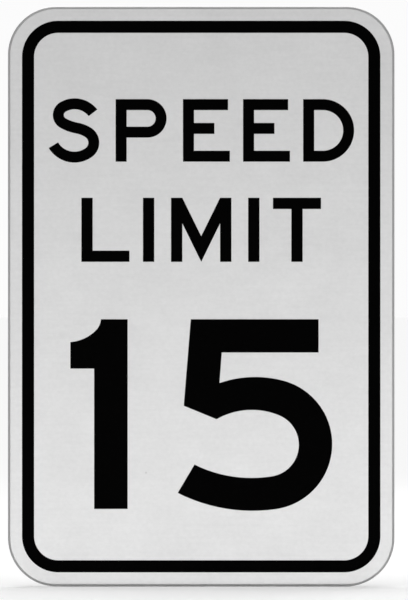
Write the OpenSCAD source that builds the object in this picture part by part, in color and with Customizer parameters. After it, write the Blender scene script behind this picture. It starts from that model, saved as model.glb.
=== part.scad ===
// Flat traffic sign panel: an aluminium blank, white reflective sheeting, and a border and legend of
// black film. The origin is the centre of the back face, +Z is up and the face looks along -Y.

/* [Blank] */
// Width of the sign
sign_w = 304.8; // [254:0.1:400]
// Height of the sign
sign_h = 457.2; // [380:0.1:600]
// Radius of the sign's corners
corner_r = 38.1; // [26:0.1:60]
// Thickness of the aluminium blank
blank_t = 1.6; // [1:0.1:4]

/* [Sheeting] */
// Thickness of the white reflective sheeting
sheeting_t = 0.25; // [0.15:0.01:0.6]
// Bare metal left between the sheeting and the edge of the blank
sheeting_margin = 1.8; // [0.5:0.1:5]

/* [Border and film] */
// Thickness of the black film
film_t = 0.08; // [0.05:0.01:0.3]
// Distance from the edge of the blank to the border
border_inset = 11.1; // [6:0.1:14]
// Width of the border
border_w = 9.5; // [4:0.1:11]
// Radius of the border's outer corners
border_r = 28.6; // [16:0.1:45]

/* [Letters] */
// Height of the capitals in the first word
word_1_h = 49.3; // [36:0.1:60]
// Clear space between the border and each end of the first word
word_1_margin = 11.2; // [6:0.1:20]
// Height of the capitals in the second word
word_2_h = 50.5; // [36:0.1:61]
// Clear space between the border and each end of the second word
word_2_margin = 37.3; // [20:0.1:50]

/* [Numerals] */
// Height of the numerals
numeral_h = 149.6; // [100:0.1:180]
// Clear space between the border and each end of the numerals
numeral_margin = 28.6; // [15:0.1:60]

/* [Spacing down the sign] */
// Share of the free height above the first word, in percent
share_top = 31.4; // [20:0.1:40]
// Share of the free height between the two words, in percent
share_words = 17.1; // [10:0.1:25]
// Share of the free height between the second word and the numerals, in percent
share_numerals = 27.2; // [15:0.1:30]

/* [Letter style, in hundredths of the letter height] */
// Width of an upright stroke
stem = 17.65; // [12:0.05:20]
// Thickness of a level or curved stroke
bar = 17.5; // [12:0.05:20]
// Width of the letters with a bowl: S, P and D
round_w = 81.6; // [76:0.1:90]
// Width of the letters with open arms: E, L and T
arm_w = 75.1; // [65:0.1:85]
// Width of the M
m_w = 94.3; // [85:0.1:105]
// Space between letters
letter_gap = 26.2; // [18:0.1:35]
// Space between letters where one of them is open at that side
open_gap = 21.1; // [14:0.1:30]
// Width of the one
one_w = 30.2; // [28:0.1:36]
// Width of the five
five_w = 78.2; // [70:0.1:88]
// Space between the two numerals
numeral_gap = 29.6; // [18:0.1:40]
// Height of the lower edge of the P's bowl
p_waist = 38.5; // [34:0.1:46]
// Height of the middle of the E's short arm
e_waist = 53.2; // [48:0.1:58]
// How far the E's top arm stops short of the bottom one
e_top_short = 2.9; // [0:0.1:8]
// How far the E's middle arm stops short of the bottom one
e_mid_short = 24.8; // [15:0.1:32]

/* [Hidden] */

// Curves: a circle's sides, and the turn between two points of a curved stroke, in degrees
$fn = 180;
curve_step = 5;

// Faces that the layers are laid on, counted along the depth of the sign
blank_face = blank_t;
sheeting_face = blank_face + sheeting_t;

// The field inside the border, and the height in it that no row of letters takes up
field_w = sign_w - 2 * (border_inset + border_w);
field_h = sign_h - 2 * (border_inset + border_w);
free_h = field_h - word_1_h - word_2_h - numeral_h;

// Baselines, from the top of the field down
word_1_base = field_h / 2 - free_h * share_top / 100 - word_1_h;
word_2_base = word_1_base - free_h * share_words / 100 - word_2_h;
numeral_base = word_2_base - free_h * share_numerals / 100 - numeral_h;

// A row is [its letters, their height, the row's width, its baseline],
// and a letter is [space before it, its width], in hundredths of the letter height
word_1 = [[[0, round_w], [letter_gap, round_w], [letter_gap, arm_w], [open_gap, arm_w],
           [open_gap, round_w]], word_1_h, field_w - 2 * word_1_margin, word_1_base];
word_2 = [[[0, arm_w], [open_gap, stem], [letter_gap, m_w], [letter_gap, stem],
           [open_gap, arm_w]], word_2_h, field_w - 2 * word_2_margin, word_2_base];
numerals = [[[0, one_w], [numeral_gap, five_w]], numeral_h, field_w - 2 * numeral_margin, numeral_base];

// The S: where its centre line starts, which way it heads and the arcs it follows, each
// [radius, turn] with a left turn positive, on a letter 100 high and 81.6 wide
s_start = [71.5, 78.1];
s_heading = 127.3;
s_arcs = [[36.8, 83.8], [14.8, 119.4], [69.6, 19.2], [53, -21.1], [19.4, -113], [39.3, -94.6]];
s_design_w = 81.6;

// The one: its flag's level lower edge and the hollow upper edge, which starts at the tip and
// meets the top of the stem at flag_end, on a numeral 100 high and 30.2 wide
flag_under = 74;
flag_start = [0, 88];
flag_heading = 4.2;
flag_arcs = [[21.2, 41.4], [8.8, 40]];
flag_end = 16.1;
one_design_w = 30.2;

// The five: a level flag, given by its two ends, and a neck that leans down from it to the bowl.
// neck_in is where the neck's right edge leaves the flag, neck_foot the height of its left corner.
// The bowl's outer and inner edges are arcs, on a numeral 100 high and 78.2 wide
five_flag = [3.7, 71.1];
neck_in = 20.05;
neck_foot = 54.4;
bowl_start = [18.85, 66.4];
bowl_heading = 19.1;
bowl_arcs = [[57.6, -34.2], [34.6, -156.7], [87.1, -35.1]];
hollow_start = [17.3, 47.3];
hollow_heading = 29.7;
hollow_arcs = [[37.5, -52.5], [16.8, -148], [67.7, -35.6]];
five_design_w = 78.2;

// Sum of a list of numbers
function total(list, i = 0) = i < len(list) ? list[i] + total(list, i + 1) : 0;

// How much room the first n letters of a row take, with the spaces before them
function run_of(row, n) = total([for (k = [0:1:n - 1]) row[0][k][0] + row[0][k][1]]);

// Millimetres per hundredth of the letter height, across a row and up it
function across(row) = row[2] / run_of(row, len(row[0]));
function up(row) = row[1] / 100;

// The points of a chain of arcs, each [x, y, heading], from a start point and a heading
function walk(start, heading, arcs, i = 0) =
    i == len(arcs) ? [[start.x, start.y, heading]] :
    let (r = arcs[i][0] * sign(arcs[i][1]),
         turn = arcs[i][1],
         steps = ceil(abs(turn) / curve_step),
         hub = start + r * [-sin(heading), cos(heading)],
         points = [for (k = [0:steps]) let (a = heading + turn * k / steps)
                   [hub.x + r * sin(a), hub.y - r * cos(a), a]])
    concat([for (k = [0:steps - 1]) points[k]],
           walk([points[steps].x, points[steps].y], heading + turn, arcs, i + 1));

// A walked line, stretched by kx and ky and moved sideways by d at every point
function beside(line, kx, ky, d) =
    [for (p = line) let (along = [kx * cos(p[2]), ky * sin(p[2])])
     [kx * p.x, ky * p.y] + d * [-along.y, along.x] / norm(along)];

function backwards(list) = [for (k = [len(list) - 1:-1:0]) list[k]];

// A rectangle with round corners, centred on the origin
module rounded_plate(w, h, r) {
    square([w - 2 * r, h], center = true);
    square([w, h - 2 * r], center = true);
    for (x = [-1, 1], y = [-1, 1])
        translate([x * (w / 2 - r), y * (h / 2 - r)]) circle(r);
}

// An outline whose sides lie a distance inside the sign's edge, with corners of radius r
module sign_outline(inset, r) {
    rounded_plate(sign_w - 2 * inset, sign_h - 2 * inset, r);
}

// A layer of the sign: a flat shape t thick, laid on a face and seen from the front
module layer(face, t) {
    translate([0, -face, 0]) rotate([90, 0, 0]) linear_extrude(t) children();
}

// Letter i of a row, cut from black film and laid on the sheeting
module film_letter(row, i) {
    left = across(row) * (run_of(row, i) + row[0][i][0]) - row[2] / 2;
    color("black") layer(sheeting_face, film_t) translate([left, row[3]]) children();
}

// Width of letter i of a row, in millimetres
function wide(row, i) = across(row) * row[0][i][1];

// The right half of a bowl: a half ring between two heights, whose outer edge ends at right
module bowl(right, low, high, stroke) {
    r = (high - low) / 2;
    translate([right - r, low + r]) difference() {
        circle(r);
        circle(r - stroke);
        translate([-2 * r, -r]) square([2 * r, 2 * r]);
    }
}

// A stem with a bowl on its right, as in P and D; the bowl's lower edge is at waist
module stem_and_bowl(w, h, waist) {
    thick = bar * h / 100;
    low = waist * h / 100;
    straight = w - (h - low) / 2;
    square([stem * h / 100, h]);
    for (y = [low, h - thick]) translate([0, y]) square([straight, thick]);
    bowl(w, low, h, thick);
}

module glyph_s(w, h) {
    kx = w / s_design_w;
    ky = h / 100;
    line = walk(s_start, s_heading, s_arcs);
    half = bar * ky / 2;
    polygon(concat(beside(line, kx, ky, half), backwards(beside(line, kx, ky, -half))));
}

module glyph_e(w, h) {
    k = h / 100;
    square([stem * k, h]);
    square([w, bar * k]);
    translate([0, (e_waist - bar / 2) * k]) square([w - e_mid_short * k, bar * k]);
    translate([0, (100 - bar) * k]) square([w - e_top_short * k, bar * k]);
}

module glyph_l(w, h) {
    square([stem * h / 100, h]);
    square([w, bar * h / 100]);
}

module glyph_i(w, h) {
    translate([(w - stem * h / 100) / 2, 0]) square([stem * h / 100, h]);
}

// Two stems and a V between them whose strokes are as thick as the stems
module glyph_m(w, h) {
    thick = stem * h / 100;
    reach = w / 2 - thick;
    lean = atan(reach / h) + asin(thick / norm([reach, h]));
    drop = thick / sin(lean);
    crotch = reach / tan(lean);
    polygon([[0, 0], [0, h], [thick, h], [w / 2, drop], [w - thick, h], [w, h],
             [w, 0], [w - thick, 0], [w - thick, crotch], [w / 2, 0], [thick, crotch], [thick, 0]]);
}

module glyph_t(w, h) {
    thick = stem * h / 100;
    translate([0, h - bar * h / 100]) square([w, bar * h / 100]);
    translate([(w - thick) / 2, 0]) square([thick, h]);
}

module glyph_one(w, h) {
    kx = w / one_design_w;
    ky = h / 100;
    edge = beside(walk(flag_start, flag_heading, flag_arcs), kx, ky, 0);
    polygon(concat([[0, flag_under * ky]], edge,
                   [[flag_end * kx, h], [w, h], [w, 0], [w - stem * ky, 0],
                    [w - stem * ky, flag_under * ky]]));
}

module glyph_five(w, h) {
    kx = w / five_design_w;
    ky = h / 100;
    under_flag = (100 - bar) * ky;
    outer = beside(walk(bowl_start, bowl_heading, bowl_arcs), kx, ky, 0);
    inner = beside(walk(hollow_start, hollow_heading, hollow_arcs), kx, ky, 0);
    polygon(concat([[five_flag[0] * kx, h], [five_flag[1] * kx, h], [five_flag[1] * kx, under_flag],
                    [neck_in * kx, under_flag]], outer, backwards(inner), [[0, neck_foot * ky]]));
}

module sign_blank() {
    color("darkgray") layer(0, blank_t) sign_outline(0, corner_r);
}

module reflective_sheeting() {
    color("gainsboro") layer(blank_face, sheeting_t)
        sign_outline(sheeting_margin, corner_r - sheeting_margin);
}

module border_film() {
    color("black") layer(sheeting_face, film_t) difference() {
        sign_outline(border_inset, border_r);
        sign_outline(border_inset + border_w, border_r - border_w);
    }
}

module letter_s() { film_letter(word_1, 0) glyph_s(wide(word_1, 0), word_1_h); }
module letter_p() { film_letter(word_1, 1) stem_and_bowl(wide(word_1, 1), word_1_h, p_waist); }
module letter_e_first() { film_letter(word_1, 2) glyph_e(wide(word_1, 2), word_1_h); }
module letter_e_second() { film_letter(word_1, 3) glyph_e(wide(word_1, 3), word_1_h); }
module letter_d() { film_letter(word_1, 4) stem_and_bowl(wide(word_1, 4), word_1_h, 0); }
module letter_l() { film_letter(word_2, 0) glyph_l(wide(word_2, 0), word_2_h); }
module letter_i_first() { film_letter(word_2, 1) glyph_i(wide(word_2, 1), word_2_h); }
module letter_m() { film_letter(word_2, 2) glyph_m(wide(word_2, 2), word_2_h); }
module letter_i_second() { film_letter(word_2, 3) glyph_i(wide(word_2, 3), word_2_h); }
module letter_t() { film_letter(word_2, 4) glyph_t(wide(word_2, 4), word_2_h); }
module numeral_one() { film_letter(numerals, 0) glyph_one(wide(numerals, 0), numeral_h); }
module numeral_five() { film_letter(numerals, 1) glyph_five(wide(numerals, 1), numeral_h); }

sign_blank();
reflective_sheeting();
border_film();
letter_s();
letter_p();
letter_e_first();
letter_e_second();
letter_d();
letter_l();
letter_i_first();
letter_m();
letter_i_second();
letter_t();
numeral_one();
numeral_five();
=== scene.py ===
# %% [markdown]
# # A speed limit sign, layer by layer
# The real sign is a sandwich: a flat aluminium blank, a sheet of white reflective sheeting glued to
# its face, and black film cut to the border and the characters and glued on top of that. Nothing
# moves, so all the pieces ride on one body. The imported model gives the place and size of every
# layer, and this script gives each one its true edge, its surface and its light.

# %% Load the frame
import bpy
import numpy as np
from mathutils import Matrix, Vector
from mathutils.geometry import tessellate_polygon


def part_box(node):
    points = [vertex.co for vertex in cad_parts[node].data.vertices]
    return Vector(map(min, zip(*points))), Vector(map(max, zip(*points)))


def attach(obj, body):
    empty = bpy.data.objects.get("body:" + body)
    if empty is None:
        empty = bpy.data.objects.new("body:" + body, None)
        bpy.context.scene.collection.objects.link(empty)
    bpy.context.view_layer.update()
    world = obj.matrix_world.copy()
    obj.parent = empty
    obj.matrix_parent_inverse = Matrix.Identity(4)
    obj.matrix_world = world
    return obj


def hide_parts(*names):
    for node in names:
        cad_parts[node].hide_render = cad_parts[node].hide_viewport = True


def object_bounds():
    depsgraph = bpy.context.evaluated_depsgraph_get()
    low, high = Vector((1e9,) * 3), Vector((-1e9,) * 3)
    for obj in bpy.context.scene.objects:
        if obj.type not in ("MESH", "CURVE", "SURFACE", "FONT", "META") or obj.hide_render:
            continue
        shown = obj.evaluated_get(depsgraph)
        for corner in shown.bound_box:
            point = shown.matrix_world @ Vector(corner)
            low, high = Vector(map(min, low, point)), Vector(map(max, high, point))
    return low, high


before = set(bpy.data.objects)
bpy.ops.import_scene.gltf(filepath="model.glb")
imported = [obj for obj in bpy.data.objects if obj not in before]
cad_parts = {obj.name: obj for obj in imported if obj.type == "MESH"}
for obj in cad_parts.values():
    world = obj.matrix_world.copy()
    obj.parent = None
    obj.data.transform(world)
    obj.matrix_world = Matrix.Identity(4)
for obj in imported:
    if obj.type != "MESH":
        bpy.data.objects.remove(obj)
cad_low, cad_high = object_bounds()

print("nodes in the frame:", len(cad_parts))

# %% [markdown]
# ## Sizes
# Every size that the frame already knows is read from it, so the looks follow the design if it
# changes. A node's box is its lowest and highest corner, in metres. The face of the sign looks
# along -Y, so a layer's front is its lowest y and its back is its highest.

# %% Read the layers
MM = 0.001


def layer_of(node):
    """The back and front of a layer, as the two y values of its node's box."""
    low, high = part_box(node)
    return high.y, low.y


def size_of(node):
    """Width and height of a node, from its box."""
    low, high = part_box(node)
    return high.x - low.x, high.z - low.z


blank_back, blank_front = layer_of("sign_blank")
sheeting_back, sheeting_front = layer_of("reflective_sheeting")
film_back, film_front = layer_of("border_film")
sign_w, sign_h = size_of("sign_blank")
print(f"blank {sign_w / MM:.1f} x {sign_h / MM:.1f} mm, {(blank_back - blank_front) / MM:.2f} thick")
print(f"sheeting {(sheeting_back - sheeting_front) / MM:.2f} mm thick")
print(f"film {(film_back - film_front) / MM:.2f} mm thick")

# %% [markdown]
# ## One way to make every piece
# A sheet of anything, whether metal or film, is an outline with a thickness. Its character is in
# the edge: sheared metal rolls over at the front, and cut film has a soft shoulder. So each piece
# here is a small edge profile carried round its outline, with a flat cap in front and behind. A
# flat face with Solidify and Bevel modifiers would give the same silhouette, but not a profile
# that differs between front and back.
#
# The outline is an array of points and the profile is an array of points, so the whole edge is
# one sum of the two. The only hard part is a corner: pushed out by one, it has to move further
# than one, so that both of its sides end up at the right distance.

# %% Carry a profile round an outline
def outward(loop):
    """How far each corner of a closed loop moves when every side is pushed out by one: the sum of
    the normals of the corner's two sides, divided by one plus their dot product."""
    ahead = np.roll(loop, -1, axis=0) - loop
    ahead = ahead / np.linalg.norm(ahead, axis=1, keepdims=True)
    normal = np.stack([ahead[:, 1], -ahead[:, 0]], axis=1)
    before = np.roll(normal, 1, axis=0)
    return (normal + before) / (1 + (normal * before).sum(axis=1, keepdims=True))


def carry(loop, profile):
    """A profile carried round a loop. Point (i, j) is corner i pushed outward by the profile's
    first value, at the depth y of its second."""
    grid = np.empty((len(loop), len(profile), 3))
    flat = loop[:, None, :] + outward(loop)[:, None, :] * profile[None, :, :1]
    grid[..., 0], grid[..., 2] = flat[..., 0], flat[..., 1]
    grid[..., 1] = profile[:, 1]
    return grid


unit_square = np.array([[0, 0], [1, 0], [1, 1], [0, 1]], float)
print("a unit square pushed out by one:", (unit_square + outward(unit_square)).tolist())

# %% [markdown]
# The profile itself is two quarter circles with a straight wall between them. Film is cut dead
# square at the back, so a round may have no radius, and then all its points fall on one spot. Only
# the first of them is kept, because faces without an area would spoil the mesh.

# %% The profile of an edge
def edge_profile(back, front, back_round, front_round, steps=5):
    """Across the edge of a sheet from its back to its front, as (outward, y). A quarter circle is
    its radius times (cos, sin), and a point that repeats the one before it is left out."""
    turn = np.linspace(0, np.pi / 2, steps)
    behind = np.stack([back_round * (np.sin(turn) - 1),
                       back - back_round * (1 - np.cos(turn))], axis=1)
    ahead = np.stack([front_round * (np.cos(turn) - 1),
                      front + front_round * (1 - np.sin(turn))], axis=1)
    profile = np.concatenate([behind, ahead])
    moved = np.abs(np.diff(profile, axis=0)).sum(axis=1) > 0
    return profile[np.concatenate([[True], moved])]


print("points across an edge with one round:", len(edge_profile(0, -1, 0, 0.5)))

# %% [markdown]
# A mesh needs faces as well as points. The carried grid gives four-sided faces by its numbering
# alone. The caps are flat shapes with or without holes, and Blender's own polygon filler turns
# those into triangles, but not always the same way round, so each is turned by its area's sign.

# %% Faces for the edge and the caps
def band_faces(corners, columns, start):
    """Four-sided faces of a carried grid, which closes on itself round the loop."""
    i, j = np.arange(corners)[:, None], np.arange(columns - 1)[None, :]
    here, ahead = start + i * columns + j, start + (i + 1) % corners * columns + j
    return np.stack([here, ahead, ahead + 1, here + 1], axis=-1).reshape(-1, 4)


def cap_faces(rings, numbers):
    """Triangles that fill the first ring and leave the other rings open, all anticlockwise.
    The sign of a triangle's area, half the cross product of two sides, says which way it turns.
    The filler takes points in space, so each ring gets a third column of zeros."""
    corners = np.concatenate(rings)
    in_space = [np.pad(ring, ((0, 0), (0, 1))).tolist() for ring in rings]
    faces = np.array(tessellate_polygon(in_space))
    a, b, c = corners[faces[:, 0]], corners[faces[:, 1]], corners[faces[:, 2]]
    area = (b[:, 0] - a[:, 0]) * (c[:, 1] - a[:, 1]) - (b[:, 1] - a[:, 1]) * (c[:, 0] - a[:, 0])
    faces[area < 0] = faces[area < 0][:, ::-1]
    return np.concatenate(numbers)[faces]


square_numbers = np.arange(len(unit_square))
print("triangles in a square:", len(cap_faces([unit_square], [square_numbers])))

# %% [markdown]
# Sheared metal has marks that run across its edge whichever way the edge faces, and no pattern in
# space can follow that. So the band gets a UV map called `edge` that unrolls it: u is the distance
# round the outline and v the distance across the edge, both in metres. The caps need no map, and
# all their corners lie at zero.

# %% Unroll the edge
def along(line):
    """How far each point of a line lies from its first, measured along the line."""
    return np.concatenate([[0], np.linalg.norm(np.diff(line, axis=0), axis=1)]).cumsum()


def edge_map(loop, profile):
    """The map's corners for each face of a band: the distance round the closed loop, and the
    distance across the profile."""
    u, v = along(np.concatenate([loop, loop[:1]])), along(profile)
    i, j = np.divmod(np.arange(len(loop) * (len(profile) - 1)), len(profile) - 1)
    round_loop = np.stack([u[i], u[i + 1], u[i + 1], u[i]], axis=1)
    across = np.stack([v[j], v[j], v[j + 1], v[j + 1]], axis=1)
    return np.stack([round_loop, across], axis=-1).reshape(-1, 2)


print("distance round a unit square:", along(np.concatenate([unit_square, unit_square[:1]]))[-1])

# %% [markdown]
# Now the bands and the two caps become one closed mesh. The band is shaded smooth, so that its few
# columns read as a round edge, and the caps are shaded flat, so that the roundness doesn't bleed
# across the face. Each piece rides on the sign's one body and stands for its CAD node.

# %% From loops to a closed sheet
def sheet_piece(name, loops, profile, node):
    """A closed sheet with the outline loops[0] and a hole for each further loop."""
    grids, faces, uv, numbers, start = [], [], [], [], 0
    for loop in loops:
        size = len(loop) * len(profile)
        grids.append(carry(loop, profile))
        faces.extend(band_faces(len(loop), len(profile), start).tolist())
        uv.append(edge_map(loop, profile))
        numbers.append(start + np.arange(size).reshape(len(loop), len(profile)))
        start += size
    smooth = [True] * len(faces)
    for column, order in ((-1, 1), (0, -1)):
        rings = [grid[:, column][:, [0, 2]] for grid in grids]
        caps = cap_faces(rings, [each[:, column] for each in numbers])[:, ::order]
        faces.extend(caps.tolist())
        smooth.extend([False] * len(caps))
        uv.append(np.zeros((caps.size, 2)))
    points = np.concatenate([grid.reshape(-1, 3) for grid in grids])
    mesh = bpy.data.meshes.new(name)
    mesh.from_pydata(points.tolist(), [], faces)
    mesh.polygons.foreach_set("use_smooth", smooth)
    mesh.uv_layers.new(name="edge").data.foreach_set("uv", np.concatenate(uv).ravel())
    mesh.validate()
    piece = bpy.data.objects.new(name, mesh)
    bpy.context.collection.objects.link(piece)
    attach(piece, "root")
    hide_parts(node)
    return piece


# %% [markdown]
# ## The blank
# A sign blank is punched from aluminium sheet. The punch pulls the front edge down into a small
# roll, leaves a burnished wall, and the back edge is only eased with a deburring wheel. That is
# why its two edges have different radii. A Bevel modifier would round both alike. A box doesn't
# say how round a corner is, so the corner's radius repeats the design's own.

# %% Punch the blank
CORNER_R = 38.1 * MM
CORNER_STEPS = 32
BACK_EASE = 0.15 * MM
FRONT_ROLL = 0.5 * MM


def rounded_rectangle(width, height, radius):
    """Points round a rectangle with round corners, anticlockwise from the front. Each corner is
    its centre plus the radius times (cos a, sin a), with a going through a quarter turn."""
    quarter = np.linspace(0, np.pi / 2, CORNER_STEPS)
    sides = [(1, 1), (-1, 1), (-1, -1), (1, -1)]
    corners = []
    for number, (x, z) in enumerate(sides):
        a = quarter + number * np.pi / 2
        centre = np.array([x * (width / 2 - radius), z * (height / 2 - radius)])
        corners.append(centre + radius * np.stack([np.cos(a), np.sin(a)], axis=1))
    return np.concatenate(corners)


blank_profile = edge_profile(blank_back, blank_front, BACK_EASE, FRONT_ROLL, steps=7)
blank = sheet_piece("sign_blank_sheet", [rounded_rectangle(sign_w, sign_h, CORNER_R)],
                    blank_profile, "sign_blank")
print("blank faces:", len(blank.data.polygons))

# %% [markdown]
# ## The sheeting and the border
# The sheeting stops a little short of the edge, so a thin frame of bare metal shows all round. Its
# corners keep the blank's centres, and so the frame is equally wide everywhere. The border is one
# ring of film. A Boolean could cut its middle out, but a second loop needs no cutting: it runs the
# other way round, so that its own outward side faces into the hole.

# %% Lay the sheeting and the border
BORDER_R = 28.6 * MM
BORDER_BAND = 9.5 * MM
SHEETING_SHOULDER = 0.1 * MM
FILM_SHOULDER = 0.04 * MM

sheeting_w, sheeting_h = size_of("reflective_sheeting")
margin = (sign_w - sheeting_w) / 2
sheeting = sheet_piece("reflective_sheeting_layer",
                       [rounded_rectangle(sheeting_w, sheeting_h, CORNER_R - margin)],
                       edge_profile(sheeting_back, sheeting_front, 0, SHEETING_SHOULDER),
                       "reflective_sheeting")

border_w, border_h = size_of("border_film")
film_profile = edge_profile(film_back, film_front, 0, FILM_SHOULDER, steps=4)
border = sheet_piece("border_film_ring", [
    rounded_rectangle(border_w, border_h, BORDER_R),
    rounded_rectangle(border_w - 2 * BORDER_BAND, border_h - 2 * BORDER_BAND,
                      BORDER_R - BORDER_BAND)[::-1],
], film_profile, "border_film")
print(f"bare metal {margin / MM:.2f} mm, border {(sign_w - border_w) / 2 / MM:.2f} mm from the edge")

# %% [markdown]
# ## The characters
# Road sign capitals are drawn like plumbing: one stroke width throughout, level and upright
# strokes, and bowls that are parts of circles. A text object would be quicker, but it brings a
# font with it, and its letters would be that font's and not this design's. Strokes are easiest to
# state on a grid where the letter is 100 high. Each function below returns a list of loops in that
# grid, the outline first and then any hole, and later they are stretched to their CAD node's box.

# %% Strokes
STEM = 17.65
BAR = 17.5
ARC_STEP = 3.0


def walk(start, heading, arcs):
    """Points and headings along a chain of arcs, each (radius, turn in degrees), left turns
    positive. On an arc the point is the centre plus the radius times (sin, -cos) of the heading."""
    point, points, headings = np.array(start, float), [], []
    for radius, turn in arcs:
        count = int(np.ceil(abs(turn) / ARC_STEP)) + 1
        a = np.radians(heading + np.linspace(0, turn, count))
        r = radius * np.sign(turn)
        centre = point + r * np.array([-np.sin(a[0]), np.cos(a[0])])
        arc = centre + r * np.stack([np.sin(a), -np.cos(a)], axis=1)
        points.append(arc[:-1])
        headings.append(a[:-1])
        point, heading = arc[-1], heading + turn
    points.append(point[None])
    headings.append(a[-1:])
    return np.concatenate(points), np.concatenate(headings)


def stroke(start, heading, arcs, width):
    """A stroke of one width along a chain of arcs: the line moved half the width to each side."""
    line, headings = walk(start, heading, arcs)
    left = np.stack([-np.sin(headings), np.cos(headings)], axis=1) * width / 2
    return np.concatenate([line - left, (line + left)[::-1]])


def half_circle(centre, radius):
    """Points from straight below a centre to straight above it, round its right side."""
    a = np.radians(np.arange(-90, 90 + ARC_STEP, ARC_STEP))
    return np.array(centre) + radius * np.stack([np.cos(a), np.sin(a)], axis=1)


quarter_turn, _ = walk((0, 0), 0, [(10, 90)])
print("a left quarter turn of radius 10 ends at", quarter_turn[-1].round(3).tolist())

# %% [markdown]
# The straight letters are lists of their corners, anticlockwise. The M has strokes of equal
# thickness: the lean of its V follows from the height, the reach of one arm and the stem.

# %% Straight letters
ARM_WIDTH = 75.1
M_WIDTH = 94.3
E_WAIST = 53.2
E_TOP_SHORT = 2.9
E_MIDDLE_SHORT = 24.8


def letter_e():
    """A stem and three arms. The middle one is the shortest, and the top one a little short."""
    middle, top = ARM_WIDTH - E_MIDDLE_SHORT, ARM_WIDTH - E_TOP_SHORT
    low, high = E_WAIST - BAR / 2, E_WAIST + BAR / 2
    return [[(0, 0), (ARM_WIDTH, 0), (ARM_WIDTH, BAR), (STEM, BAR), (STEM, low), (middle, low),
             (middle, high), (STEM, high), (STEM, 100 - BAR), (top, 100 - BAR), (top, 100),
             (0, 100)]]


def letter_l():
    """A stem and one arm along the baseline."""
    return [[(0, 0), (ARM_WIDTH, 0), (ARM_WIDTH, BAR), (STEM, BAR), (STEM, 100), (0, 100)]]


def letter_i():
    """A stem and nothing else."""
    return [[(0, 0), (STEM, 0), (STEM, 100), (0, 100)]]


def letter_t():
    """A stem in the middle, under an arm that reaches as far to both sides."""
    left, right = (ARM_WIDTH - STEM) / 2, (ARM_WIDTH + STEM) / 2
    return [[(left, 0), (right, 0), (right, 100 - BAR), (ARM_WIDTH, 100 - BAR), (ARM_WIDTH, 100),
             (0, 100), (0, 100 - BAR), (left, 100 - BAR)]]


def letter_m():
    """Two stems and a V. The V leans by the angle of its reach plus the angle that a stroke of
    the stem's thickness takes up along it."""
    reach = M_WIDTH / 2 - STEM
    lean = np.arctan(reach / 100) + np.arcsin(STEM / np.hypot(reach, 100))
    drop, crotch = STEM / np.sin(lean), reach / np.tan(lean)
    inner, middle = M_WIDTH - STEM, M_WIDTH / 2
    return [[(0, 0), (STEM, 0), (STEM, crotch), (middle, 0), (inner, crotch), (inner, 0),
             (M_WIDTH, 0), (M_WIDTH, 100), (inner, 100), (middle, drop), (STEM, 100), (0, 100)]]


print("corners of the E and the M:", len(letter_e()[0]), len(letter_m()[0]))

# %% [markdown]
# P and D are a stem with a bowl, and the bowl is half a ring, so the hole inside is the same half
# circle with a smaller radius. The S is a single stroke along six arcs. The two numerals mix
# straight cuts with arcs: the one has a flag with a hollow upper edge, and the five has a level
# flag, a neck that leans down from it, and a bowl. Bezier curves could draw all this too, but a
# chain of arcs says in a few numbers where it starts, which way it heads, and how it bends.

# %% Round letters and numerals
ROUND_WIDTH = 81.6
P_WAIST = 38.5
S_LINE = ((71.5, 78.1), 127.3,
          [(36.8, 83.8), (14.8, 119.4), (69.6, 19.2), (53, -21.1), (19.4, -113), (39.3, -94.6)])
ONE_WIDTH = 30.2
ONE_FLAG_UNDER, ONE_FLAG_END = 74, 16.1
ONE_FLAG_EDGE = ((0, 88), 4.2, [(21.2, 41.4), (8.8, 40)])
FIVE_FLAG_LEFT, FIVE_FLAG_RIGHT = 3.7, 71.1
FIVE_NECK_TOP, FIVE_NECK_FOOT = 20.05, 54.4
FIVE_BOWL_OUTSIDE = ((18.85, 66.4), 19.1, [(57.6, -34.2), (34.6, -156.7), (87.1, -35.1)])
FIVE_BOWL_INSIDE = ((17.3, 47.3), 29.7, [(37.5, -52.5), (16.8, -148), (67.7, -35.6)])


def bowl_letter(waist):
    """A stem with a bowl between the height waist and the top, and a hole inside the bowl."""
    radius = (100 - waist) / 2
    centre = (ROUND_WIDTH - radius, waist + radius)
    foot = [(0, 0), (STEM, 0), (STEM, waist)] if waist else [(0, 0)]
    outline = np.concatenate([foot, half_circle(centre, radius), [(0, 100)]])
    hole = np.concatenate([[(STEM, waist + BAR)], half_circle(centre, radius - BAR),
                           [(STEM, 100 - BAR)]])
    return [outline, hole[::-1]]


def letter_s():
    """One stroke that starts at the upper right and follows six arcs down to the lower left."""
    return [stroke(*S_LINE, BAR)]


def numeral_one():
    """A stem with a flag whose upper edge is hollow and ends at the stem's top."""
    edge, _ = walk(*ONE_FLAG_EDGE)
    left = ONE_WIDTH - STEM
    return [np.concatenate([[(left, ONE_FLAG_UNDER), (left, 0), (ONE_WIDTH, 0), (ONE_WIDTH, 100),
                             (ONE_FLAG_END, 100)], edge[::-1], [(0, ONE_FLAG_UNDER)]])]


def numeral_five():
    """A flag, a leaning neck, and a bowl whose outer and inner edges are chains of arcs."""
    outer, _ = walk(*FIVE_BOWL_OUTSIDE)
    inner, _ = walk(*FIVE_BOWL_INSIDE)
    flag = [(FIVE_NECK_TOP, 100 - BAR), (FIVE_FLAG_RIGHT, 100 - BAR), (FIVE_FLAG_RIGHT, 100),
            (FIVE_FLAG_LEFT, 100)]
    return [np.concatenate([[(0, FIVE_NECK_FOOT)], inner, outer[::-1], flag])]


print("points of the S and the five:", len(letter_s()[0]), len(numeral_five()[0]))

# %% [markdown]
# Stretching a set of loops to a box is one line of arithmetic: take off the lowest corner, divide
# by the size, multiply by the box's size and add the box's lowest corner. The box comes from the
# CAD node, so the film ends up exactly where the design has it.

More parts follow.
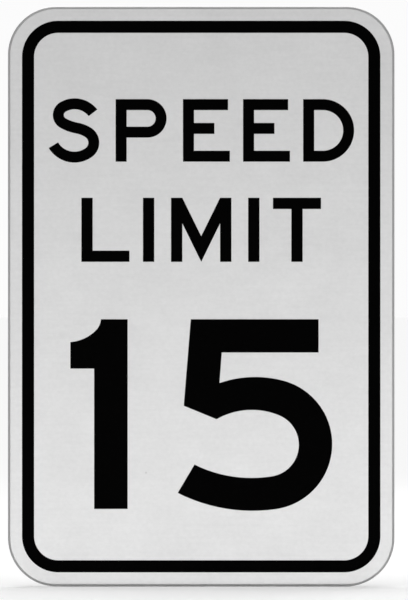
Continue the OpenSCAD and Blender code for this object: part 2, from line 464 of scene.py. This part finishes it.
# %% Cut the film
def fit_to_node(loops, node):
    """The loops, moved and stretched so that together they fill their node's box."""
    loops = [np.array(loop, float) for loop in loops]
    low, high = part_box(node)
    every = np.concatenate(loops)
    size = np.array([high.x - low.x, high.z - low.z]) / np.ptp(every, axis=0)
    return [(loop - every.min(axis=0)) * size + np.array([low.x, low.z]) for loop in loops]


CHARACTERS = {
    "letter_s": letter_s(),
    "letter_p": bowl_letter(P_WAIST),
    "letter_e_first": letter_e(),
    "letter_e_second": letter_e(),
    "letter_d": bowl_letter(0),
    "letter_l": letter_l(),
    "letter_i_first": letter_i(),
    "letter_m": letter_m(),
    "letter_i_second": letter_i(),
    "letter_t": letter_t(),
    "numeral_one": numeral_one(),
    "numeral_five": numeral_five(),
}
characters = [sheet_piece(node + "_film", fit_to_node(loops, node), film_profile, node)
              for node, loops in CHARACTERS.items()]
print("characters cut:", len(characters))
print("faces in them:", sum(len(piece.data.polygons) for piece in characters))

# %% [markdown]
# ## Building materials from small parts
# A material here is a Principled shader with a few noise patterns on it. Each pattern reads Object
# coordinates, which for these pieces are metres on the sign, so its scale is a real one: a scale
# of 4000 is a grain of a quarter of a millimetre. A painted texture would blur up close, and noise
# never does. The helpers below keep each material short.

# %% Nodes
def start_material(name):
    """A new material, its node tree, and its Principled shader."""
    material = bpy.data.materials.new(name)
    material.use_nodes = True
    tree = material.node_tree
    return material, tree, tree.nodes["Principled BSDF"]


def add_node(tree, kind, inputs=(), **settings):
    """A node with its settings, and its inputs given by name or number: a socket is linked and
    anything else is set as a value."""
    made = tree.nodes.new(kind)
    for name, value in settings.items():
        setattr(made, name, value)
    for name, value in dict(inputs).items():
        if isinstance(value, bpy.types.NodeSocket):
            tree.links.new(value, made.inputs[name])
        else:
            made.inputs[name].default_value = value
    return made


def place_on_sign(tree):
    """Where a point lies, in metres from the middle of the sign's back."""
    return add_node(tree, "ShaderNodeTexCoord").outputs["Object"]


def grain(tree, scale, detail=2.0, roughness=0.5, turn=(0, 0, 0), place=None):
    """Noise with its own number of grains to the metre along each axis, read at the place on the
    sign unless another place is given."""
    if place is None:
        place = place_on_sign(tree)
    turned = add_node(tree, "ShaderNodeMapping", {"Vector": place, "Rotation": turn}).outputs[0]
    spread = add_node(tree, "ShaderNodeMapping", {"Vector": turned, "Scale": scale}).outputs[0]
    return add_node(tree, "ShaderNodeTexNoise", {"Vector": spread, "Scale": 1.0, "Detail": detail,
                                                 "Roughness": roughness}).outputs["Fac"]


print(f"a scale of 4000 makes grains of {1 / 4000 / MM:.2f} mm")

# %% [markdown]
# Noise seldom leaves the middle of its range from 0 to 1, so a pattern is first stretched from the
# part that it really uses. Real unevenness is several kinds at once, one finer than the other, and
# so the patterns are added up, each with its own small amount. Mix nodes could blend them as well,
# but with sums each amount stays what it says, however many there are.

# %% Sums of patterns
NOISE_USES = (0.3, 0.7)
SOFT_NOISE_USES = (0.25, 0.75)


def between(tree, value, start, end, low, high):
    """A value mapped from start..end to low..high, and held at the ends."""
    return add_node(tree, "ShaderNodeMapRange", {"Value": value, "From Min": start, "From Max": end,
                                                 "To Min": low, "To Max": high}).outputs[0]


def calculate(tree, operation, first, second):
    """Two values put together by one operation of arithmetic."""
    return add_node(tree, "ShaderNodeMath", {0: first, 1: second}, operation=operation).outputs[0]


def uneven(tree, value, patterns, uses=NOISE_USES):
    """A value to which each pattern adds something between minus and plus its own amount."""
    for pattern, amount in patterns:
        swing = between(tree, pattern, *uses, -amount, amount)
        value = calculate(tree, "ADD", value, swing)
    return value


def raised(tree, value, masks):
    """A value raised by each mask's own amount where that mask is one."""
    for mask, amount in masks:
        value = calculate(tree, "ADD", value, calculate(tree, "MULTIPLY", mask, amount))
    return value


def bump(tree, height, distance, before=None):
    """A bump from a height pattern of 0 to 1, whose full height is the distance in metres."""
    inputs = {"Height": height, "Distance": distance, "Strength": 1.0}
    if before is not None:
        inputs["Normal"] = before
    return add_node(tree, "ShaderNodeBump", inputs).outputs[0]


def grey(tree, value):
    """A neutral colour from one value."""
    return add_node(tree, "ShaderNodeCombineColor", {0: value, 1: value, 2: value}).outputs[0]


print("a pattern is stretched from", NOISE_USES, "or from", SOFT_NOISE_USES)

# %% [markdown]
# ## Bare aluminium
# Mill finish sheet has fine lines along the way it was rolled, broader bands where the rolls wore,
# faint cloudiness from handling, and a few long scratches. The lines are noise squeezed to a fifth
# of a millimetre one way and drawn out to centimetres the other.
#
# One sheet has three kinds of surface. The back is as it was rolled. The punched edge is rougher,
# with marks that run across it, which is what the `edge` map is for: its v starts at the back
# face, so the wall and the front roll are the part past 0.2 mm. The front was etched so that the
# sheeting would stick, so the strip of it that shows is duller and a little lighter. Three
# materials on one mesh could do this, but they would meet in a hard line, and masks fade into one
# another.

# %% Where the edge and the front are
EDGE_FROM, EDGE_FULL = 0.2 * MM, 0.4 * MM
FRONT_FROM, FRONT_FULL = 0.05 * MM, 0.01 * MM


def part_of_blank(tree, unrolled):
    """Two masks, one for the punched edge and one for the front face. The first follows the
    distance across the edge, and the second the depth below the front."""
    across_edge = add_node(tree, "ShaderNodeSeparateXYZ", {0: unrolled}).outputs["Y"]
    depth = add_node(tree, "ShaderNodeSeparateXYZ", {0: place_on_sign(tree)}).outputs["Y"]
    on_edge = between(tree, across_edge, EDGE_FROM, EDGE_FULL, 0, 1)
    on_front = between(tree, depth, blank_front + FRONT_FROM, blank_front + FRONT_FULL, 0, 1)
    return on_edge, on_front


print(f"the edge mask is full {EDGE_FULL / MM:.1f} mm from the back face")

# %% [markdown]
# The lines move the tone a little, and the roughness and a bump of a few micrometres more, because
# that is what makes metal look rolled. The shader's Anisotropic setting could stretch the
# highlights in the same direction, but only lines that are really there hold up close.

# %% Aluminium
def bare_aluminium():
    """Rolled sheet, whose tone, roughness and bump share the same lines and scratches."""
    material, tree, shader = start_material("mill_finish_aluminium")
    lines = grain(tree, (5200, 5200, 22), detail=4, roughness=0.6)
    wide_lines = grain(tree, (620, 620, 5), detail=3)
    bands = grain(tree, (90, 90, 2.5), detail=2)
    clouds = grain(tree, (20, 20, 14), detail=4, roughness=0.6)
    rising = grain(tree, (2600, 2600, 14), detail=1, turn=(0, 0.5, 0))
    falling = grain(tree, (2900, 2900, 17), detail=1, turn=(0, -1.1, 0))
    scratches = calculate(tree, "MAXIMUM", between(tree, rising, 0.71, 0.76, 0, 1),
                          between(tree, falling, 0.72, 0.77, 0, 1))
    unrolled = add_node(tree, "ShaderNodeUVMap", uv_map="edge").outputs[0]
    on_edge, on_front = part_of_blank(tree, unrolled)

    tone = between(tree, lines, *NOISE_USES, 0.488, 0.538)
    tone = uneven(tree, tone, ((wide_lines, 0.024), (bands, 0.026), (clouds, 0.020)))
    tone = raised(tree, tone, ((scratches, 0.06), (on_front, 0.11)))
    tree.links.new(grey(tree, tone), shader.inputs["Base Color"])

    rough = between(tree, lines, *NOISE_USES, 0.32, 0.42)
    rough = uneven(tree, rough, ((wide_lines, 0.035), (bands, 0.03), (clouds, 0.045)))
    rough = raised(tree, rough, ((on_edge, 0.12), (on_front, 0.30)))
    tree.links.new(rough, shader.inputs["Roughness"])

    shear_marks = grain(tree, (6500, 500, 1), detail=3, place=unrolled)
    normal = bump(tree, lines, 0.004 * MM)
    normal = bump(tree, scratches, 0.003 * MM, normal)
    normal = bump(tree, calculate(tree, "MULTIPLY", shear_marks, on_edge), 0.02 * MM, normal)
    tree.links.new(normal, shader.inputs["Normal"])
    shader.inputs["Metallic"].default_value = 1.0
    return material


aluminium = bare_aluminium()
print("aluminium:", len(aluminium.node_tree.nodes), "nodes")

# %% [markdown]
# ## Reflective sheeting
# Beaded sheeting is a silver-white film full of tiny glass beads under a clear skin. Square on it
# reads as a quiet light grey. Looked at closely it has four kinds of unevenness, each a few parts
# in a hundred at most: the beads themselves, a mottle of a few millimetres, faint streaks along
# the web it was coated on, and soft clouds a few centimetres across. Any more would look like
# dirt. The beads could be modelled one by one, but there would be millions, and a noise a few
# beads wide reads the same. The clear skin gives a low, even gloss.
#
# Two real marks come on top, each a smooth spot around a point: a rubbed place near the left side,
# and a grain of grit between the numerals.

# %% Marks
RUBBED = {"x": -109.8 * MM, "z": -30.4 * MM, "inner": 1.5 * MM, "outer": 4.5 * MM, "depth": 0.030}
GRIT = {"x": -43.5 * MM, "z": -138.9 * MM, "inner": 0.3 * MM, "outer": 1.0 * MM, "depth": 0.170}


def spot(tree, x, z, inner, outer, depth):
    """The depth of a mark's tone inside a radius, falling to nothing at an outer one. The distance
    is taken from a point on the front of the sheeting."""
    point = (x, sheeting_front, z)
    away = add_node(tree, "ShaderNodeVectorMath", {0: place_on_sign(tree), 1: point},
                    operation="DISTANCE")
    return between(tree, away.outputs["Value"], inner, outer, depth, 0)


for mark_name, mark in (("rubbed place", RUBBED), ("grit", GRIT)):
    print(f"{mark_name}: {2 * mark['outer'] / MM:.1f} mm across")

# %% [markdown]
# The sheeting's own tone is put together from the beads and the three wider patterns, and the
# marks are taken off it. The gloss follows the mottle, since both come from how evenly the beads
# lie, and the bump has the beads on top of a slow waviness of the skin.

# %% Sheeting
def white_sheeting():
    """Light grey with four kinds of unevenness and two marks, under a low clear coat."""
    material, tree, shader = start_material("beaded_white_sheeting")
    beads = grain(tree, (3600, 3600, 3600), detail=2)
    mottle = grain(tree, (310, 310, 400), detail=3, roughness=0.55)
    streaks = grain(tree, (26, 26, 330), detail=2)
    clouds = grain(tree, (24, 24, 34), detail=3)
    tone = between(tree, beads, *SOFT_NOISE_USES, 0.666, 0.682)
    tone = uneven(tree, tone, ((mottle, 0.021), (streaks, 0.012), (clouds, 0.020)),
                  SOFT_NOISE_USES)
    for mark in (RUBBED, GRIT):
        tone = calculate(tree, "SUBTRACT", tone, spot(tree, **mark))
    tree.links.new(grey(tree, tone), shader.inputs["Base Color"])
    gloss = between(tree, mottle, *SOFT_NOISE_USES, 0.36, 0.44)
    tree.links.new(gloss, shader.inputs["Roughness"])
    skin = bump(tree, grain(tree, (520, 520, 520), detail=1), 0.002 * MM)
    tree.links.new(bump(tree, beads, 0.001 * MM, skin), shader.inputs["Normal"])
    shader.inputs["Coat Weight"].default_value = 0.25
    shader.inputs["Coat Roughness"].default_value = 0.14
    return material


sheeting_finish = white_sheeting()
print("sheeting:", len(sheeting_finish.node_tree.nodes), "nodes")

# %% [markdown]
# ## Black film
# The film is an opaque black skin with a soft gloss. A squeegee presses it down, and that leaves
# a faint drag in its gloss. A colour of plain zero would look like a hole in the sign, so there is
# a trace of tone in it. Its reflection is kept low, so that it stays black seen square on.

# %% Film
def black_film():
    """Nearly black, with a roughness that is drawn out along the squeegee's slanting way."""
    material, tree, shader = start_material("opaque_black_film")
    drag = grain(tree, (60, 60, 900), detail=3, turn=(0, 0.25, 0))
    skin = grain(tree, (700, 700, 700), detail=2)
    tone = between(tree, skin, *NOISE_USES, 0.0001, 0.0005)
    tree.links.new(grey(tree, tone), shader.inputs["Base Color"])
    tree.links.new(between(tree, drag, *NOISE_USES, 0.34, 0.44), shader.inputs["Roughness"])
    tree.links.new(bump(tree, skin, 0.0015 * MM), shader.inputs["Normal"])
    shader.inputs["Specular IOR Level"].default_value = 0.02
    return material


film = black_film()
print("film:", len(film.node_tree.nodes), "nodes")

# %% [markdown]
# Now each piece gets its finish.
# All the film shares one material, since it is cut from one roll, and a change to it in one place
# then changes every character. A copy for each would only be needed if they had aged apart.

# %% Put the finishes on
def finish_piece(piece, material):
    """One material on a piece."""
    piece.data.materials.append(material)


finish_piece(blank, aluminium)
finish_piece(sheeting, sheeting_finish)
for piece in [border, *characters]:
    finish_piece(piece, film)
print("pieces in black film:", film.users)

# %% [markdown]
# ## The stage
# The sign stands on a plain white floor, so light that it stays clean, and not so light that a
# shadow on it is lost. A sheet hung behind the sign would be the usual studio backdrop, but it
# would hide the back, and so the floor simply runs on to where the eye can't tell it from the sky.

# %% Floor
FLOOR_HALF = 60.0
FLOOR_GAP = 0.05 * MM
FLOOR_TONE = 0.97

floor_mesh = bpy.data.meshes.new("floor")
floor_z = cad_low.z - FLOOR_GAP
floor_mesh.from_pydata([(-FLOOR_HALF, -FLOOR_HALF, floor_z), (FLOOR_HALF, -FLOOR_HALF, floor_z),
                        (FLOOR_HALF, FLOOR_HALF, floor_z), (-FLOOR_HALF, FLOOR_HALF, floor_z)],
                       [], [(0, 1, 2, 3)])
floor = bpy.data.objects.new("floor", floor_mesh)
bpy.context.collection.objects.link(floor)
floor_material, _, floor_shader = start_material("floor")
floor_shader.inputs["Base Color"].default_value = (FLOOR_TONE, FLOOR_TONE, FLOOR_TONE, 1)
floor_shader.inputs["Roughness"].default_value = 1.0
floor_shader.inputs["Specular IOR Level"].default_value = 0.0
floor_mesh.materials.append(floor_material)
print(f"the floor lies {FLOOR_GAP / MM:.2f} mm under the sign, {2 * FLOOR_HALF:.0f} m across")

# %% [markdown]
# The world is white where the camera looks past the floor, and dim as a light, so the lamps do the
# modelling and black film doesn't mirror a white room. A Light Path node tells the two apart.

# %% World
WORLD_LIGHT, WORLD_SEEN = 0.12, 0.97

world = bpy.data.worlds.new("studio")
bpy.context.scene.world = world
world.use_nodes = True
air = world.node_tree
seen = add_node(air, "ShaderNodeLightPath").outputs["Is Camera Ray"]
strength = between(air, seen, 0, 1, WORLD_LIGHT, WORLD_SEEN)
air.nodes["Background"].inputs["Color"].default_value = (1, 1, 1, 1)
air.links.new(strength, air.nodes["Background"].inputs["Strength"])
print(f"the world lights with {WORLD_LIGHT} and is seen as {WORLD_SEEN}")

# %% [markdown]
# A very wide sun stands in for the bank of lamps over a studio table. It lights the whole floor
# evenly, which a lamp at a few metres doesn't. It comes from almost straight above, a few degrees
# behind the sign and to its left, far out of the mirror direction of the face, and it leaves a
# soft shadow at the sign's foot. A strip that lies on the floor in front shines up and lifts the
# lower half of the face. It doesn't show in reflections, or the foot of the bare metal would be
# much brighter than its top. A soft box behind gives the bare back its sheen.

# %% Lamps
def put_lamp(lamp, toward, place=(0, 0, 0), mirrored=True):
    """A lamp that shines along the direction toward, and shows in reflections or doesn't."""
    made = bpy.data.objects.new(lamp.name, lamp)
    made.location = place
    made.rotation_mode = "QUATERNION"
    made.rotation_quaternion = Vector(toward).to_track_quat("-Z", "Y")
    made.visible_camera = False
    made.visible_glossy = mirrored
    bpy.context.collection.objects.link(made)


BANK_TURN, BANK_HEIGHT = np.radians(-150), np.radians(86)
STRIP_LENGTH, STRIP_DEPTH = 1.6, 0.7
STRIP_PLACE = (0.1, -0.353, floor_z + 1 * MM)
BACK_BOX_PLACE = (1.0, 1.4, 0.9)

bank = bpy.data.lights.new("overhead_bank", "SUN")
bank.energy = 2.65
bank.angle = np.radians(60)
put_lamp(bank, (-np.sin(BANK_TURN) * np.cos(BANK_HEIGHT), np.cos(BANK_TURN) * np.cos(BANK_HEIGHT),
                -np.sin(BANK_HEIGHT)))

strip = bpy.data.lights.new("floor_strip", "AREA")
strip.shape = "RECTANGLE"
strip.size, strip.size_y = STRIP_LENGTH, STRIP_DEPTH
strip.energy = 4.35
put_lamp(strip, (0, 0, 1), STRIP_PLACE, mirrored=False)

back_box = bpy.data.lights.new("back_box", "AREA")
back_box.shape = "SQUARE"
back_box.size = 0.9
back_box.energy = 5.0
put_lamp(back_box, -Vector(BACK_BOX_PLACE), BACK_BOX_PLACE)
print("lamps:", [lamp.name for lamp in bpy.data.lights])

# %% [markdown]
# ## The camera
# A long lens from far away shows a flat sign square on with next to no perspective. An orthographic
# camera would have none at all, but then a view from the side would look like a drawing. The
# camera's distance follows from its lens: the height that an upright view shows is the distance
# times the sensor's longer side over the focal length. The sign stands a few millimetres left of
# the middle of the view, and above it.

# %% Camera
LENS, SENSOR = 300.0, 36.0
VIEW_HEIGHT = 473.2 * MM
SIGN_LEFT, SIGN_UP = 2.2 * MM, 2.7 * MM

distance = VIEW_HEIGHT * LENS / SENSOR
camera_data = bpy.data.cameras.new("camera")
camera_data.lens, camera_data.sensor_width = LENS, SENSOR
camera = bpy.data.objects.new("camera", camera_data)
camera.location = (SIGN_LEFT, film_front - distance, -SIGN_UP)
camera.rotation_euler = (np.pi / 2, 0, 0)
bpy.context.collection.objects.link(camera)
bpy.context.scene.camera = camera
bpy.context.scene.view_settings.view_transform = "Standard"
print(f"the camera stands {distance:.2f} m in front of the face")
